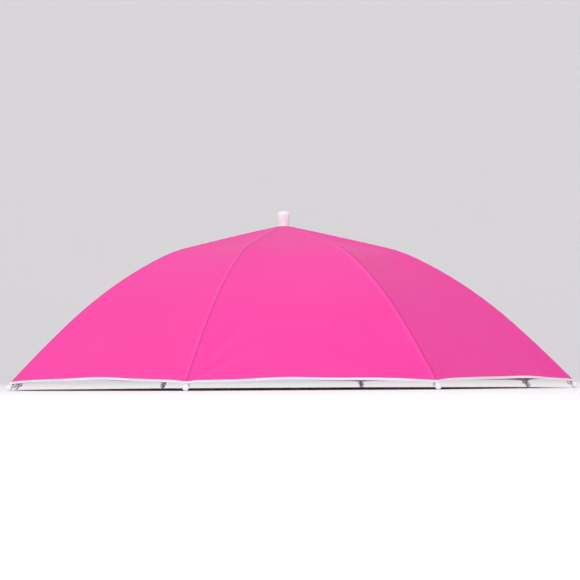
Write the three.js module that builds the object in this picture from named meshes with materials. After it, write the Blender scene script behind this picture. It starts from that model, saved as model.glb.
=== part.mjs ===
// Umbrella hat: an eight-panel cloth canopy on folding ribs, with an elastic headband hung inside it.
// Millimetres, +Z up. The front faces -Y. The hat stands on its eight rib tips, and the origin lies
// on that floor, straight under the crown.
import * as THREE from "three";

// Canopy
const panelCount = 8;
const tipReach = 309; // centre line to the middle of a tip's ball
const crownRise = 170; // middle of the balls to the cloth at the crown
const clothWall = 1;
const crownHoleRoom = 0.9; // round the spigot that passes through the cloth
const cornerGap = 1.3; // end of a tip's stem to the cloth's corner
const hemRise = 6; // how far the middle of a hem is cut back from the line between its corners
const panelHollow = 1.8; // how far the middle of a panel hangs below its seams
const foldSink = 2.4; // deepest tension fold at a corner
const bindingWidth = 2.3;

// Ribs, their tips and the stretchers that spread them
const ribRadius = 1;
const ballRadius = 3.2;
const stemLength = 7; // ball's middle to the end of the stem
const stemStep = 0.4; // stem's radius over the sleeve's
const sleeveWall = 0.4;
const sleeveLength = 8;
const ribStop = 2.4; // ball's middle to the bottom of the tip's bore
const ridgeRoom = 0.2; // extra room for a sleeve under the ridge of a seam
const stretcherRadius = 1;
const stretcherReach = 131; // where a stretcher meets its rib

// Hub, runner, shaft and ferrule
const shaftRadius = 4;
const hubWall = 1.7; // between the shaft's bore and a slot
const hubHeight = 8;
const slotDepth = 5;
const spigotRadius = 2.5;
const spigotLength = 8;
const runnerDrop = 16; // underside of the hub to the top of the runner
const shaftEnd = 1.5; // how far the shaft stands out under the runner
const ferruleWall = 2.6; // round the spigot, where the ferrule meets the cloth
const ferruleSpread = 1.5; // how much wider its top is than its base, on each side
const ferruleHeight = 15;
const fluteCount = 12;
const fluteDepth = 0.5;
const dimpleRadius = 1.6;
const dimpleDepth = 0.8;

// Headband and the straps that it hangs on
const bandRadius = 85; // inside, to the middle of a flat
const bandWall = 2;
const bandHeight = 38;
const bandLift = 45; // floor to the lower edge
const flatsPerPanel = 4;
const strapWidth = 10;
const strapWall = 1.2;
const strapLap = 14; // how far a strap reaches down the band's outer side
const eyeRoom = 0.5; // round the stretcher in a strap's eyelet

const fitGap = 0.3; // between pieces that touch

// Slope of a rib by share of its reach: level under the ferrule, a nearly straight inner run,
// a quick bend where the stretcher holds it, and a long outer bow.
const ribBend = [
  { reach: 0, degrees: 3 },
  { reach: 0.04, degrees: 13 },
  { reach: 0.36, degrees: 14 },
  { reach: 0.46, degrees: 26 },
  { reach: 0.8, degrees: 42.5 },
  { reach: 1, degrees: 46 },
];

// Tension folds that run from a corner into a panel. Angle is from the hem, run and width are
// shares of the rib's length, and sink is a share of the deepest fold.
const cornerFolds = [
  { angle: 16, run: 0.34, width: 0.03, sink: 0.7 },
  { angle: 46, run: 0.42, width: 0.036, sink: 1 },
];

// Outline of the ferrule's wall: height is a share of its height, and flare runs from its base
// radius to its top one.
const ferruleFlare = [
  { height: 0, flare: 0 },
  { height: 0.2, flare: 0.1 },
  { height: 0.45, flare: 0.5 },
  { height: 0.66, flare: 0.9 },
  { height: 0.76, flare: 1 },
];

// How strongly each panel is drawn at its left and right corner, counted from the front.
const panelPull = [
  { left: 1, right: 0.9 },
  { left: 0.9, right: 0.6 },
  { left: 0.5, right: 0.7 },
  { left: 0.8, right: 0.5 },
  { left: 0.6, right: 0.9 },
  { left: 1, right: 0.6 },
  { left: 0.6, right: 0.5 },
  { left: 0.7, right: 1 },
];

// Mesh fineness
const panelRows = 14;
const panelHalfColumns = 5;
const bindingSteps = 8;
const ribSteps = 18;
const bendSamples = 400;
const wireSides = 6;
const tipSides = 10;
const shaftSides = 16;
const ballRings = [-65, -40, -15, 10, 32]; // degrees above the ball's middle
const domeSteps = 3;

const halfPanel = Math.PI / panelCount;
const sleeveRadius = ribRadius + fitGap + sleeveWall;
const stemRadius = sleeveRadius + stemStep;
const ribDepth = clothWall + fitGap + sleeveRadius + ridgeRoom; // outside of the cloth to a rib's axis
const crownHole = spigotRadius + crownHoleRoom;
const slotRoot = shaftRadius + fitGap + hubWall;
const hubRadius = slotRoot + slotDepth;
const ferruleBase = spigotRadius + fitGap + ferruleWall;
const ferruleTop = ferruleBase + ferruleSpread;
const strapReach = bandRadius + bandWall + fitGap;
const axisRise = crownRise - ribDepth;
const frontAngle = -Math.PI / 2;
const upward = new THREE.Vector3(0, 0, 1);
const radians = THREE.MathUtils.degToRad;

// The value of a table's column at a share of the reach, on straight lines between its rows.
function between(table, share, column) {
  const next = table.findIndex((row) => row.reach >= share);
  const upper = table[next < 0 ? table.length - 1 : next];
  const lower = table[Math.max(0, (next < 0 ? table.length : next) - 1)];
  const width = upper.reach - lower.reach;
  const part = width > 0 ? Math.min(1, (share - lower.reach) / width) : 0;
  return THREE.MathUtils.lerp(lower[column], upper[column], part);
}

// Height that a rib has lost at each sample of its reach, before it is scaled to the hat's rise.
const drops = [0];
for (let i = 0; i < bendSamples; i += 1) {
  const slope = Math.tan(radians(between(ribBend, (i + 0.5) / bendSamples, "degrees")));
  drops.push(drops[i] + slope / bendSamples);
}
const wholeDrop = drops[bendSamples];

// A rib's axis at a share of its reach, as a radius, a height above the balls' middles and a slope.
function ribAxis(share) {
  const at = THREE.MathUtils.clamp(share, 0, 1) * bendSamples;
  const i = Math.min(bendSamples - 1, Math.floor(at));
  const step = drops[i + 1] - drops[i];
  const scale = axisRise / wholeDrop;
  return {
    radius: share * tipReach,
    height: axisRise - scale * (drops[i] + step * (at - i)),
    slope: Math.atan((scale * step * bendSamples) / tipReach),
  };
}

// The outside of the cloth over a rib, square to the rib's axis.
function seam(share) {
  const { radius, height, slope } = ribAxis(share);
  return {
    radius: radius + ribDepth * Math.sin(slope),
    height: height + ribDepth * Math.cos(slope),
    slope,
  };
}

function ribRun() {
  let length = 0;
  for (let i = 0; i < bendSamples; i += 1) {
    const a = ribAxis(i / bendSamples);
    const b = ribAxis((i + 1) / bendSamples);
    length += Math.hypot(b.radius - a.radius, b.height - a.height);
  }
  return length;
}

const ribLength = ribRun();
const tipSlope = ribAxis(1).slope;
const tipLevel = Math.cos(tipSlope); // level distance for each millimetre along a rib at its tip
const cornerShare = 1 - ((stemLength + cornerGap) * tipLevel) / tipReach;
const crownShare = (crownHole - ribDepth * Math.sin(ribAxis(0).slope)) / tipReach;

// Closed solid between an outer and an inner grid of points, each a list of rows.
function sheetSolid(outer, inner) {
  const rows = outer.length;
  const columns = outer[0].length;
  const points = [...outer.flat(), ...inner.flat()];
  const under = rows * columns;
  const index = [];
  const quad = (a, b, c, d) => index.push(a, b, c, a, c, d);
  for (let i = 0; i + 1 < rows; i += 1) {
    for (let j = 0; j + 1 < columns; j += 1) {
      const a = i * columns + j;
      quad(a, a + columns, a + columns + 1, a + 1);
      quad(under + a, under + a + 1, under + a + columns + 1, under + a + columns);
    }
    const left = i * columns;
    const right = left + columns - 1;
    quad(left, under + left, under + left + columns, left + columns);
    quad(right, right + columns, under + right + columns, under + right);
  }
  for (let j = 0; j + 1 < columns; j += 1) {
    const last = (rows - 1) * columns + j;
    quad(j, j + 1, under + j + 1, under + j);
    quad(last, under + last, under + last + 1, last + 1);
  }
  return indexed(points, index);
}

// Closed ring through a list of sections, each with the same number of points.
function ringSolid(sections) {
  const sides = sections[0].length;
  const index = [];
  sections.forEach((_, i) => {
    const here = i * sides;
    const next = ((i + 1) % sections.length) * sides;
    for (let j = 0; j < sides; j += 1) {
      const k = (j + 1) % sides;
      index.push(here + j, next + j, next + k, here + j, next + k, here + k);
    }
  });
  return indexed(sections.flat(), index);
}

function indexed(points, index) {
  const geometry = new THREE.BufferGeometry().setFromPoints(points);
  geometry.setIndex(index);
  geometry.computeVertexNormals();
  return geometry;
}

// The corners of a regular outline, with its first side's middle on +X.
function circle(radius, sides) {
  return Array.from({ length: sides }, (_, i) => {
    const angle = ((2 * i + 1) * Math.PI) / sides;
    return new THREE.Vector2(radius * Math.cos(angle), radius * Math.sin(angle));
  });
}

// A turned solid about Z, from a profile of [radius, height] pairs that starts and ends on the axis.
function turned(profile, segments) {
  const points = profile.map(([radius, height]) => new THREE.Vector2(radius, height));
  return new THREE.LatheGeometry(points, segments).rotateX(Math.PI / 2);
}

// How far the tension folds of one panel draw its cloth in. Across is from the panel's middle line,
// and down is from the hem.
function foldAt(pull, across, down, halfWidth) {
  const corners = [
    { inward: halfWidth + across, pull: pull.left },
    { inward: halfWidth - across, pull: pull.right },
  ];
  let sink = 0;
  corners.forEach((corner) => {
    const away = Math.hypot(corner.inward, down);
    const angle = Math.atan2(down, corner.inward);
    cornerFolds.forEach((fold) => {
      const run = away / (fold.run * ribLength);
      const off = (away * Math.sin(angle - radians(fold.angle))) / (fold.width * ribLength);
      const fade = run < 1 ? Math.sin(Math.PI * run) : 0;
      sink += corner.pull * foldSink * fold.sink * fade * Math.exp(-off * off);
    });
  });
  return sink;
}

// A point of a panel in its own frame, with +X out along its middle line. Share is along the ribs
// and side runs from -1 at the left seam to 1 at the right one. Inset keeps it off the seams.
function panelPoint(pull, share, side, inset) {
  const { radius, height, slope } = seam(share);
  const half = radius * Math.sin(halfPanel);
  const across = side * (half - inset / Math.cos(halfPanel));
  const down = (cornerShare - share) * ribLength;
  const middle = 1 - side * side;
  const hollow = panelHollow * middle * Math.sin(Math.PI * Math.min(1, share));
  const drop = hollow + middle * foldAt(pull, across, down, half);
  const steep = Math.hypot(1, Math.tan(slope) / Math.cos(halfPanel));
  const outer = new THREE.Vector3(radius * Math.cos(halfPanel), across, height - drop);
  const inner = outer.clone();
  inner.z -= clothWall * steep;
  return { outer, inner };
}

// Share of the reach where a panel is cut at its hem.
function hemShare(side) {
  return cornerShare - (hemRise * (1 - side * side)) / tipReach;
}

// Share of the reach where a panel's cloth stops for its binding.
function clothEnd(side) {
  return hemShare(side) - ((bindingWidth + fitGap) * tipLevel) / tipReach;
}

// Columns lie closer together towards the seams, where the folds start.
function panelSides() {
  const sides = [];
  for (let i = -panelHalfColumns; i <= panelHalfColumns; i += 1) {
    sides.push(Math.sin((Math.PI / 2) * (i / panelHalfColumns)));
  }
  return sides;
}

function panelGeometry(pull) {
  const outer = [];
  const inner = [];
  for (let i = 0; i <= panelRows; i += 1) {
    const row = panelSides().map((side) => {
      const share = THREE.MathUtils.lerp(crownShare, clothEnd(side), i / panelRows);
      return panelPoint(pull, share, side, fitGap / 2);
    });
    outer.push(row.map((point) => point.outer));
    inner.push(row.map((point) => point.inner));
  }
  return sheetSolid(outer, inner);
}

// One strip of binding round the whole hem.
function bindingGeometry() {
  const sections = [];
  for (let panel = 0; panel < panelCount; panel += 1) {
    for (let i = 0; i < bindingSteps; i += 1) {
      const side = (2 * i) / bindingSteps - 1;
      const start = hemShare(side) - (bindingWidth * tipLevel) / tipReach;
      const edge = panelPoint(pullOf(panel), hemShare(side), side, 0);
      const top = panelPoint(pullOf(panel), start, side, 0);
      const section = [top.outer, top.inner, edge.inner, edge.outer];
      section.forEach((point) => point.applyAxisAngle(upward, panelAngle(panel)));
      sections.push(section);
    }
  }
  return ringSolid(sections);
}

function pullOf(panel) {
  return panelPull[panel % panelPull.length];
}

function panelAngle(panel) {
  return frontAngle + 2 * halfPanel * panel;
}

function spokeAngle(spoke) {
  return panelAngle(spoke) + halfPanel;
}

// The axis of a rib as a curve, in the plane of its spoke.
class RibCurve extends THREE.Curve {
  constructor(from, to) {
    super();
    this.from = from;
    this.to = to;
  }

  getPoint(t, target = new THREE.Vector3()) {
    const { radius, height } = ribAxis(THREE.MathUtils.lerp(this.from, this.to, t));
    return target.set(radius, 0, height);
  }
}

function ribGeometry() {
  const inner = (slotRoot + fitGap) / tipReach;
  const outer = 1 - ((ribStop + fitGap) * tipLevel) / tipReach;
  const section = new THREE.Shape(circle(ribRadius, wireSides));
  return new THREE.ExtrudeGeometry(section, {
    extrudePath: new RibCurve(inner, outer),
    steps: ribSteps,
    bevelEnabled: false,
  });
}

// A rib's tip about Z, with the ball's middle at the origin and the bore opening upwards.
function tipGeometry() {
  const bore = ribRadius + fitGap;
  const end = stemLength + sleeveLength;
  const neck = Math.sqrt(ballRadius ** 2 - stemRadius ** 2);
  const ball = ballRings.map((degrees) => {
    const angle = radians(degrees);
    return [ballRadius * Math.cos(angle), ballRadius * Math.sin(angle)];
  });
  return turned(
    [
      [0, -ballRadius],
      ...ball,
      [stemRadius, neck],
      [stemRadius, stemLength],
      [sleeveRadius, stemLength + stemRadius - sleeveRadius],
      [sleeveRadius, end],
      [bore, end],
      [bore, ribStop],
      [0, ribStop],
    ],
    tipSides,
  );
}

// A disc with a bore for the shaft and a slot for a wire at each spoke, as the hub and the runner are.
function slottedDisc(wireRadius) {
  const outline = new THREE.Shape();
  const slotHalf = wireRadius + fitGap;
  const mouth = Math.asin(slotHalf / hubRadius);
  for (let spoke = 0; spoke < panelCount; spoke += 1) {
    const angle = spokeAngle(spoke);
    const corner = (radius, side) =>
      new THREE.Vector2(radius, side * slotHalf).rotateAround(new THREE.Vector2(), angle);
    if (spoke === 0) outline.moveTo(...corner(hubRadius * Math.cos(mouth), -1));
    outline.lineTo(...corner(slotRoot, -1));
    outline.lineTo(...corner(slotRoot, 1));
    outline.lineTo(...corner(hubRadius * Math.cos(mouth), 1));
    outline.absarc(0, 0, hubRadius, angle + mouth, angle + 2 * halfPanel - mouth);
  }
  outline.holes.push(new THREE.Path(circle(shaftRadius + fitGap, shaftSides)));
  return new THREE.ExtrudeGeometry(outline, {
    depth: hubHeight,
    curveSegments: 2,
    bevelEnabled: false,
  });
}

// The crown ferrule: a fluted cap, narrow at the cloth, with a bore for the spigot and a dimple on top.
function ferruleGeometry() {
  const bore = spigotRadius + fitGap;
  const shoulder = ferruleFlare[ferruleFlare.length - 1].height * ferruleHeight;
  const wall = ferruleFlare.map(({ height, flare }) => [
    THREE.MathUtils.lerp(ferruleBase, ferruleTop, flare),
    height * ferruleHeight,
  ]);
  const dome = Array.from({ length: domeSteps }, (_, step) => {
    const angle = ((step + 1) / domeSteps) * (Math.PI / 2);
    return [
      THREE.MathUtils.lerp(2 * dimpleRadius, ferruleTop, Math.cos(angle)),
      THREE.MathUtils.lerp(shoulder, ferruleHeight, Math.sin(angle)),
    ];
  });
  const profile = [
    [0, spigotLength + fitGap],
    [bore, spigotLength + fitGap],
    [bore, 0],
    ...wall,
    ...dome,
    [dimpleRadius, ferruleHeight],
    [0, ferruleHeight - dimpleDepth],
  ];
  const geometry = turned(profile, 2 * fluteCount);
  const place = geometry.getAttribute("position");
  const firstWall = 3;
  for (let column = 1; column < 2 * fluteCount; column += 2) {
    for (let row = firstWall; row < firstWall + wall.length + 1; row += 1) {
      const i = column * profile.length + row;
      const scale = 1 - fluteDepth / Math.hypot(place.getX(i), place.getY(i));
      place.setXY(i, place.getX(i) * scale, place.getY(i) * scale);
    }
  }
  geometry.computeVertexNormals();
  return geometry;
}

// The shaft, with a thinner spigot on top that the ferrule is pressed on.
function shaftGeometry(bottom, shoulder, top) {
  return turned(
    [
      [0, bottom],
      [shaftRadius, bottom],
      [shaftRadius, shoulder],
      [spigotRadius, shoulder],
      [spigotRadius, top],
      [0, top],
    ],
    shaftSides,
  );
}

// The elastic band, with flats that the straps lie on.
function bandGeometry() {
  const flats = flatsPerPanel * panelCount;
  const outline = new THREE.Shape(circle((bandRadius + bandWall) / Math.cos(Math.PI / flats), flats));
  outline.holes.push(new THREE.Path(circle(bandRadius / Math.cos(Math.PI / flats), flats)));
  return new THREE.ExtrudeGeometry(outline, { depth: bandHeight, bevelEnabled: false });
}

// A strap with an eyelet that a stretcher passes through, in the plane of its spoke: the strap's
// wall runs out along +X, and its lower edge is at height 0.
function strapGeometry(eyeHeight) {
  const half = strapWidth / 2;
  const outline = new THREE.Shape();
  outline.moveTo(half, 0);
  outline.lineTo(half, eyeHeight);
  outline.absarc(0, eyeHeight, half, 0, Math.PI);
  outline.lineTo(-half, 0);
  outline.holes.push(new THREE.Path().absarc(0, eyeHeight, stretcherRadius + eyeRoom, 0, 2 * Math.PI));
  const geometry = new THREE.ExtrudeGeometry(outline, {
    depth: strapWall,
    curveSegments: 4,
    bevelEnabled: false,
  });
  const across = new THREE.Vector3(0, 1, 0);
  const outward = new THREE.Vector3(1, 0, 0);
  return geometry.applyMatrix4(new THREE.Matrix4().makeBasis(across, upward, outward));
}

// A straight rod from one point to another.
function rodGeometry(from, to, radius) {
  const along = to.clone().sub(from);
  const rod = new THREE.CylinderGeometry(radius, radius, along.length(), wireSides);
  const turn = new THREE.Quaternion().setFromUnitVectors(new THREE.Vector3(0, 1, 0), along.normalize());
  const middle = from.clone().lerp(to, 0.5);
  return rod.applyQuaternion(turn).translate(middle.x, middle.y, middle.z);
}

function piece(parent, name, geometry, finish) {
  const mesh = new THREE.Mesh(geometry, new THREE.MeshStandardMaterial(finish));
  mesh.name = name;
  parent.add(mesh);
  return mesh;
}

const pinkCloth = { color: "#f955ab", roughness: 0.6, metalness: 0 };
const whiteTape = { color: "#fbe4ec", roughness: 0.75, metalness: 0 };
const blackSteel = { color: "#2a2729", roughness: 0.3, metalness: 0.9 };
const whitePlastic = { color: "#f3f1ee", roughness: 0.35, metalness: 0 };
const blackElastic = { color: "#1f1d20", roughness: 0.85, metalness: 0 };

// Heights above the balls' middles
const hubEdge = panelPoint(pullOf(0), hubRadius / (tipReach * Math.cos(halfPanel)), 0, 0);
const hubTop = hubEdge.inner.z - fitGap - ridgeRoom;
const hubBottom = hubTop - hubHeight;
const runnerTop = hubBottom - runnerDrop;
const runnerBottom = runnerTop - hubHeight;
const ferruleBottom = seam(crownShare).height + fitGap;
const bandBottom = bandLift - ballRadius;
const strapBottom = bandBottom + bandHeight - strapLap;

// The axis of a stretcher, from the runner out to its rib.
const stretcherStart = new THREE.Vector3(slotRoot + fitGap, 0, runnerTop - hubHeight / 2);
const ribAtStretcher = ribAxis(stretcherReach / tipReach);
const underRib = (ribRadius + fitGap + ridgeRoom + stretcherRadius) / Math.cos(ribAtStretcher.slope);
const stretcherEnd = new THREE.Vector3(stretcherReach, 0, ribAtStretcher.height - underRib);

const strapPart = (strapReach - stretcherStart.x) / (stretcherEnd.x - stretcherStart.x);
const eyeHeight = THREE.MathUtils.lerp(stretcherStart.z, stretcherEnd.z, strapPart) - strapBottom;

const hat = new THREE.Group();
const canopy = new THREE.Group();
const frame = new THREE.Group();
hat.add(canopy, frame);

for (let i = 0; i < panelCount; i += 1) {
  const panel = piece(canopy, `canopy_panel_${i + 1}`, panelGeometry(pullOf(i)), pinkCloth);
  panel.rotation.z = panelAngle(i);
}
piece(canopy, "edge_binding", bindingGeometry(), whiteTape);

for (let i = 0; i < panelCount; i += 1) {
  const spoke = new THREE.Group();
  spoke.rotation.z = spokeAngle(i);
  frame.add(spoke);
  piece(spoke, `rib_${i + 1}`, ribGeometry(), blackSteel);
  const tip = piece(spoke, `rib_tip_${i + 1}`, tipGeometry(), whitePlastic);
  tip.position.x = tipReach;
  tip.rotation.y = tipSlope - Math.PI / 2;
  const rod = rodGeometry(stretcherStart, stretcherEnd, stretcherRadius);
  piece(spoke, `stretcher_${i + 1}`, rod, blackSteel);
  const strap = piece(spoke, `hang_strap_${i + 1}`, strapGeometry(eyeHeight), blackElastic);
  strap.position.set(strapReach, 0, strapBottom);
}

piece(frame, "top_hub", slottedDisc(ribRadius), whitePlastic).position.z = hubBottom;
piece(frame, "runner", slottedDisc(stretcherRadius), whitePlastic).position.z = runnerBottom;
const shaft = shaftGeometry(runnerBottom - shaftEnd, hubTop, ferruleBottom + spigotLength);
piece(frame, "shaft", shaft, whitePlastic);
piece(frame, "crown_ferrule", ferruleGeometry(), whitePlastic).position.z = ferruleBottom;
piece(frame, "headband", bandGeometry(), blackElastic).position.z = bandBottom;

// The balls' lowest points touch the floor.
hat.position.z = -new THREE.Box3().setFromObject(hat, true).min.z;

export default hat;
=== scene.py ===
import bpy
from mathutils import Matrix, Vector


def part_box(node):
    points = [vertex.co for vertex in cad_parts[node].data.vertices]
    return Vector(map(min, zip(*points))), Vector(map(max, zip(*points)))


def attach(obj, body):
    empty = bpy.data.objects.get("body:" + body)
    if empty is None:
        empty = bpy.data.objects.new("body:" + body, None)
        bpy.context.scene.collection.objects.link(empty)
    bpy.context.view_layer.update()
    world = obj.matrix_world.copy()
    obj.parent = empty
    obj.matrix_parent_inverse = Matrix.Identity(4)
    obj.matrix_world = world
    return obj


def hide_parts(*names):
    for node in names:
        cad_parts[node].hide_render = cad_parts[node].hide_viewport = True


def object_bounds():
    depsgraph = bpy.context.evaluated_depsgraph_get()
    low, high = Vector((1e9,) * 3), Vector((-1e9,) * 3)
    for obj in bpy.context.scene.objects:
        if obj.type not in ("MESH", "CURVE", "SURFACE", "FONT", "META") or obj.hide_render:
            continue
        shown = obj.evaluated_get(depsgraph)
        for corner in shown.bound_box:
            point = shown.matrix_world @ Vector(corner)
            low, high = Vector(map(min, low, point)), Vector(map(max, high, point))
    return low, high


bl_info = {
    "name": "Umbrella Hat",
    "version": (1, 0, 0),
    "blender": (4, 5, 0),
    "location": "3D View > Sidebar > Hat",
    "description": "Dresses the frame of an umbrella hat with its cloth, hem, ribs, tips and headband",
    "category": "Object",
}

import math

import bmesh
import bpy
import numpy as np
from bpy.props import FloatProperty, FloatVectorProperty, IntProperty, PointerProperty
from mathutils import Matrix, Vector

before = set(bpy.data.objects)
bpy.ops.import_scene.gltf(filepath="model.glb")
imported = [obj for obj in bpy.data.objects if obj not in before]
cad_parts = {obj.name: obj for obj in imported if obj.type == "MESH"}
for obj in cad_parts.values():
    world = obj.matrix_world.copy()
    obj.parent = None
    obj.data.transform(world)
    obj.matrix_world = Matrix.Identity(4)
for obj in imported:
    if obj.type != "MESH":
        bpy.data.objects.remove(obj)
CAD_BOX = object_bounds()

MM = 0.001
PANELS = 8
HALF_PANEL = math.pi / PANELS
FRONT = -math.pi / 2  # the middle of the first panel faces -Y
UP = Vector((0, 0, 1))

# Slope of a rib by share of its reach: level under the ferrule, a nearly straight inner run, a quick
# bend where the stretcher holds it, and a long outer bow.
RIB_BEND = [
    {"reach": 0, "degrees": 3},
    {"reach": 0.04, "degrees": 13},
    {"reach": 0.36, "degrees": 14},
    {"reach": 0.46, "degrees": 26},
    {"reach": 0.8, "degrees": 42.5},
    {"reach": 1, "degrees": 46},
]

# Tension folds that run from a corner into a panel. Angle is in degrees from the hem, run and width
# are shares of the rib's length, and sink is a share of the deepest fold. A ridge has a negative sink.
CORNER_FOLDS = [
    {"angle": 8, "run": 0.12, "width": 0.008, "sink": -0.4},
    {"angle": 17, "run": 0.26, "width": 0.012, "sink": 0.5},
    {"angle": 27, "run": 0.14, "width": 0.009, "sink": -0.5},
    {"angle": 38, "run": 0.22, "width": 0.014, "sink": 1},
    {"angle": 52, "run": 0.16, "width": 0.01, "sink": -0.5},
    {"angle": 64, "run": 0.3, "width": 0.016, "sink": 0.6},
]

# How strongly each panel is drawn at its left and right corner, counted from the front.
PANEL_PULL = [
    {"left": 1, "right": 0.9},
    {"left": 0.9, "right": 0.6},
    {"left": 0.5, "right": 0.7},
    {"left": 0.8, "right": 0.5},
    {"left": 0.6, "right": 1.6},
    {"left": 1.2, "right": 0.6},
    {"left": 0.6, "right": 0.5},
    {"left": 0.7, "right": 1},
]

# Loop of thread round a corner of the cloth, from the hole in the stem to the loop's middle. Inward and
# up are millimetres from the hole, and side is a share of the way from the stem's middle to its side.
CORNER_LOOP = [
    {"inward": 0, "side": 1, "up": 0},
    {"inward": 1.1, "side": 1.25, "up": -0.9},
    {"inward": 2.6, "side": 1.1, "up": -1.2},
    {"inward": 3.45, "side": 0.7, "up": 0.6},
    {"inward": 3.4, "side": 0.4, "up": 2.6},
    {"inward": 2.2, "side": 0, "up": 3.8},
]

# A stitch from end to end: along is a share of its length and rise one of its thread's radius.
STITCH = [
    {"along": -0.5, "rise": -0.8},
    {"along": -0.36, "rise": 0.4},
    {"along": 0, "rise": 0.75},
    {"along": 0.36, "rise": 0.4},
    {"along": 0.5, "rise": -0.8},
]

# Outline of the ferrule's wall: height is a share of its height, and flare runs from its base radius
# to its top one.
FERRULE_FLARE = [
    {"height": 0, "flare": 0},
    {"height": 0.2, "flare": 0.1},
    {"height": 0.45, "flare": 0.5},
    {"height": 0.66, "flare": 0.9},
    {"height": 0.76, "flare": 1},
]


def linear(code):
    """The linear colour of an sRGB hex value."""
    parts = [int(code[i : i + 2], 16) / 255 for i in (1, 3, 5)]
    return [c / 12.92 if c <= 0.04045 else ((c + 0.055) / 1.055) ** 2.4 for c in parts]


def columns(table, *names):
    """The named columns of a table, each as an array."""
    return [np.array([row[name] for row in table], float) for name in names]


def length(millimetres, name, description):
    """A length of the hat, stated in millimetres and kept in metres."""
    return FloatProperty(
        name=name,
        description=description,
        default=millimetres * MM,
        min=0,
        precision=4,
        unit="LENGTH",
    )


def colour(code, name, description):
    """A colour of the hat, stated as an sRGB hex value and kept linear."""
    return FloatVectorProperty(
        name=name,
        description=description,
        default=linear(code),
        size=3,
        min=0,
        max=1,
        subtype="COLOR",
    )


def node_radius(node):
    """Outer radius of a round CAD node that stands on the hat's axis."""
    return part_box(node)[1].x


class HatCanopySettings(bpy.types.PropertyGroup):
    """Sizes of the cloth, its seams and folds, and its bound hem"""

    wall: length(0.5, "Cloth", "Thickness of the cloth with its silver coat")
    lift: length(2.8, "Lift", "Axis of a rib to the outside of the cloth over it")
    crown_hole: length(3.4, "Crown hole", "Radius of the hole that the spigot passes through")
    corner_room: length(3, "Corner room", "Middle of a tip's ball to the corner of the cloth")
    hem_rise: length(3.2, "Hem rise", "How far the middle of a hem is cut back from its corners")
    hollow: length(4, "Hollow", "How far the middle of a panel hangs below its seams")
    fold_depth: length(2, "Fold depth", "Depth of the deepest tension fold at a corner")
    ripple: length(0.35, "Ripple", "Height of the broad ripples that soft cloth keeps")
    ripple_room: length(30, "Ripple room", "Half width of a panel that leaves its ripples full height")
    groove: length(0.35, "Seam groove", "Depth of the line along a seam")
    allowance: length(5, "Seam allowance", "Width of the folded cloth under the left side of a seam")
    allowance_rise: length(0.3, "Allowance rise", "How far the seam allowance lifts the cloth")
    pucker: length(0.14, "Pucker", "Height of the puckers that the seam's thread draws")
    pucker_pitch: length(13, "Pucker pitch", "From one pucker to the next along a seam")
    gather: length(0.4, "Crown gather", "Depth of the gathers round the ferrule")
    tape_width: length(2.3, "Tape width", "Width of the hem tape on each side of the cloth")
    tape_wall: length(0.35, "Tape", "Thickness of the hem tape")
    stitch_pitch: length(3, "Stitch pitch", "From one stitch of hem or seam to the next")
    thread: length(0.17, "Thread", "Radius of the sewing thread")
    rows: IntProperty(name="Rows", description="Rows of faces from crown to hem", default=112, min=8)
    columns: IntProperty(name="Columns", description="Faces across a panel", default=52, min=8)
    seed: IntProperty(name="Seed", description="Which set of small unevennesses is drawn", default=5)


class HatFrameSettings(bpy.types.PropertyGroup):
    """Sizes of the ribs, their tips, the stretchers, the hub, the runner and the ferrule"""

    ball_radius: length(3.1, "Ball", "Radius of the ball at a rib's tip, which stands on the floor")
    rib_radius: length(1, "Rib", "Radius of a rib's wire")
    rib_start: length(6.3, "Rib start", "Centre line to the inner end of a rib and of a stretcher")
    rib_stop: length(2.7, "Rib stop", "Middle of a tip's ball to the end of its rib")
    stem_radius: length(1.8, "Stem", "Radius of a tip's stem")
    stem_length: length(7, "Stem length", "Middle of a tip's ball to the end of its stem")
    hole_radius: length(0.55, "Hole", "Radius of the hole in a stem for the corner thread")
    hole_height: length(4.34, "Hole height", "Middle of a tip's ball to that hole")
    sleeve_radius: length(1.7, "Sleeve", "Radius of a tip's sleeve")
    sleeve_length: length(8, "Sleeve length", "Length of a tip's sleeve")
    bore_radius: length(1.3, "Bore", "Radius of the bore that takes the rib")
    stretcher_radius: length(1, "Stretcher", "Radius of a stretcher's wire")
    stretcher_reach: length(131, "Stretcher reach", "Centre line to where a stretcher meets its rib")
    stretcher_room: length(0.5, "Stretcher room", "Clear height between a stretcher and its rib")
    fork_wall: length(0.5, "Fork", "Thickness of the fork plates on a stretcher's end")
    slot_root: length(6, "Slot root", "Centre line to the bottom of the slots in hub and runner")
    slot_half: length(1.3, "Slot", "Half of the width of a slot")
    knot_radius: length(0.2, "Corner thread", "Radius of the thread that ties a corner to its tip")
    spigot_radius: length(2.5, "Spigot", "Radius of the spigot that the ferrule is pressed on")
    fit: length(0.3, "Fit", "Clearance between pieces that touch")
    ferrule_base: length(5.4, "Ferrule base", "Radius of the ferrule where it meets the cloth")
    ferrule_seat: length(1.05, "Ferrule seat", "How far the ferrule's rim reaches down onto the cloth")
    flutes: IntProperty(name="Flutes", description="Grooves round the ferrule", default=12, min=3)
    flute_depth: length(0.55, "Flute", "Depth of a groove in the ferrule")
    dimple_radius: length(1.6, "Dimple", "Radius of the dimple on the ferrule")
    dimple_depth: length(0.8, "Dimple depth", "Depth of the dimple on the ferrule")


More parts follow.
